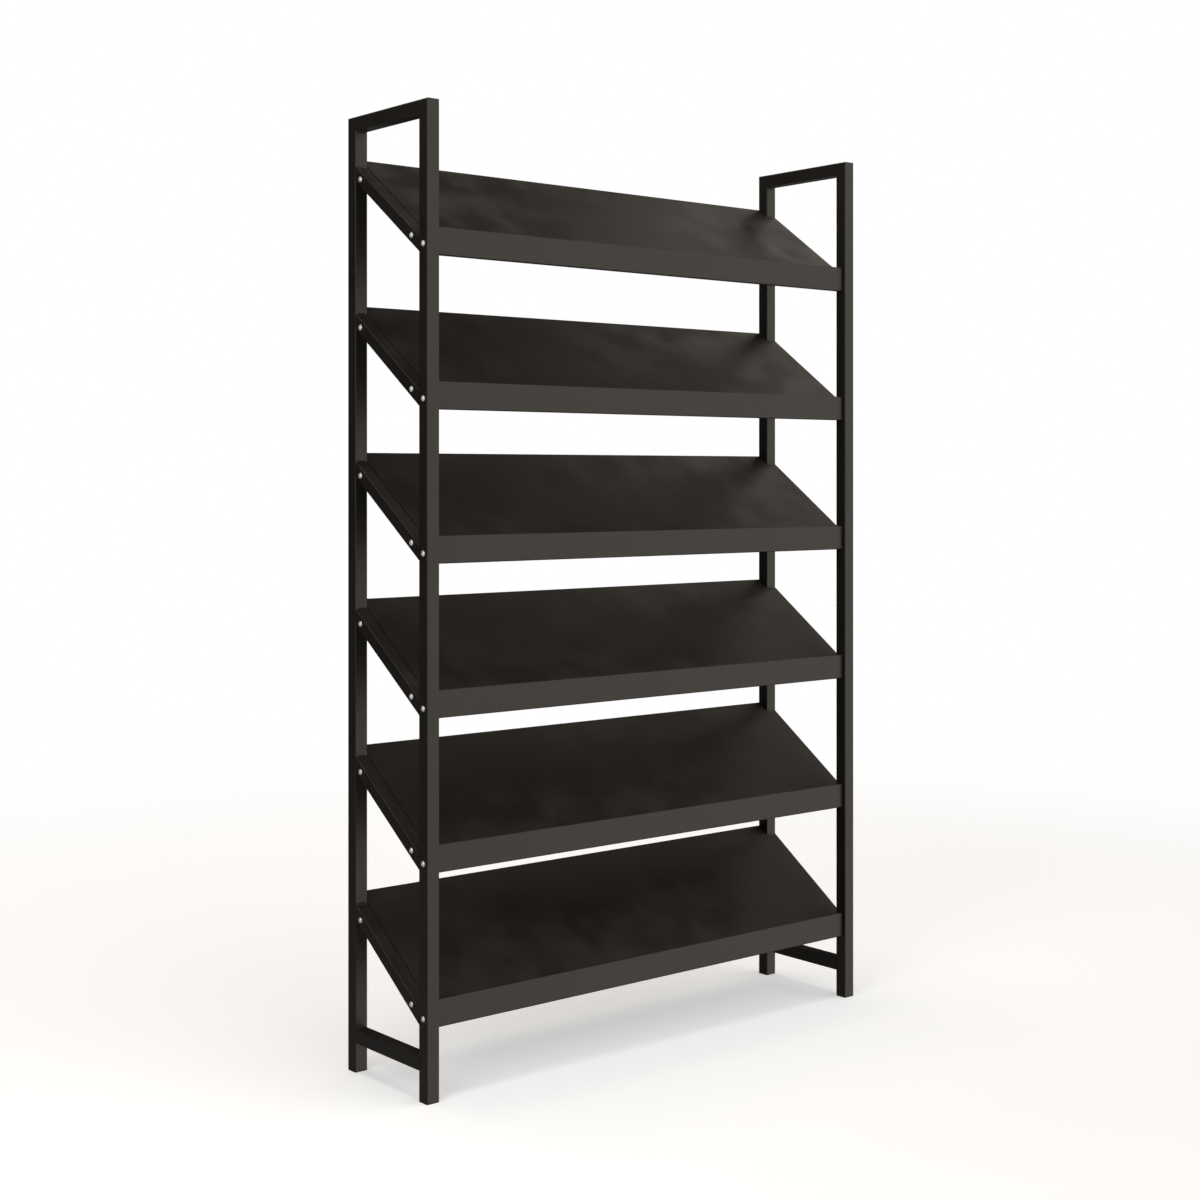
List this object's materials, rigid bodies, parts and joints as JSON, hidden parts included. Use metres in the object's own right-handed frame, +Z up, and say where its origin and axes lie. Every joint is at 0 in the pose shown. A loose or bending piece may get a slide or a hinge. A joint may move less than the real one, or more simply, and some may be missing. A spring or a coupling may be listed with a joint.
{
  "type": "newspaper rack",
  "caption": "Tall free-standing display rack: two welded square-tube side frames carry sloping sheet-steel trays with a front lip, bolted on through the frames' rails.",
  "frame": {"origin": "middle of the footprint, on the ground under the glides", "axes": "+Z up, +X to the right of someone facing the lips, +Y to the back"},
  "size_m": [1.0552, 0.25, 1.7],
  "materials": {
    "frame": "satin dark bronze-black powder coat on square steel tube",
    "tray": "satin dark bronze-black powder coat on folded sheet steel",
    "fastener": "bright zinc-plated steel",
    "glide": "moulded black polyethylene"
  },
  "bodies": {
    "root": {"left_front_post": "frame", "left_rear_post": "frame", "left_top_bar": "frame", "left_stretcher": "frame", "right_front_post": "frame", "right_rear_post": "frame", "right_top_bar": "frame", "right_stretcher": "frame", "left_rail_1": "frame", "left_rail_2": "frame", "left_rail_3": "frame", "left_rail_4": "frame", "left_rail_5": "frame", "left_rail_6": "frame", "right_rail_1": "frame", "right_rail_2": "frame", "right_rail_3": "frame", "right_rail_4": "frame", "right_rail_5": "frame", "right_rail_6": "frame", "tray_1": "tray", "tray_2": "tray", "tray_3": "tray", "tray_4": "tray", "tray_5": "tray", "tray_6": "tray", "left_front_glide": "glide", "left_rear_glide": "glide", "right_front_glide": "glide", "right_rear_glide": "glide", "left_post_screws": "fastener", "right_post_screws": "fastener", "left_front_rail_bolts": "fastener", "left_rear_rail_bolts": "fastener", "right_front_rail_bolts": "fastener", "right_rear_rail_bolts": "fastener", "left_front_washers": "fastener", "left_rear_washers": "fastener", "right_front_washers": "fastener", "right_rear_washers": "fastener", "left_front_nuts": "fastener", "left_rear_nuts": "fastener", "right_front_nuts": "fastener", "right_rear_nuts": "fastener"}
  },
  "joints": []
}
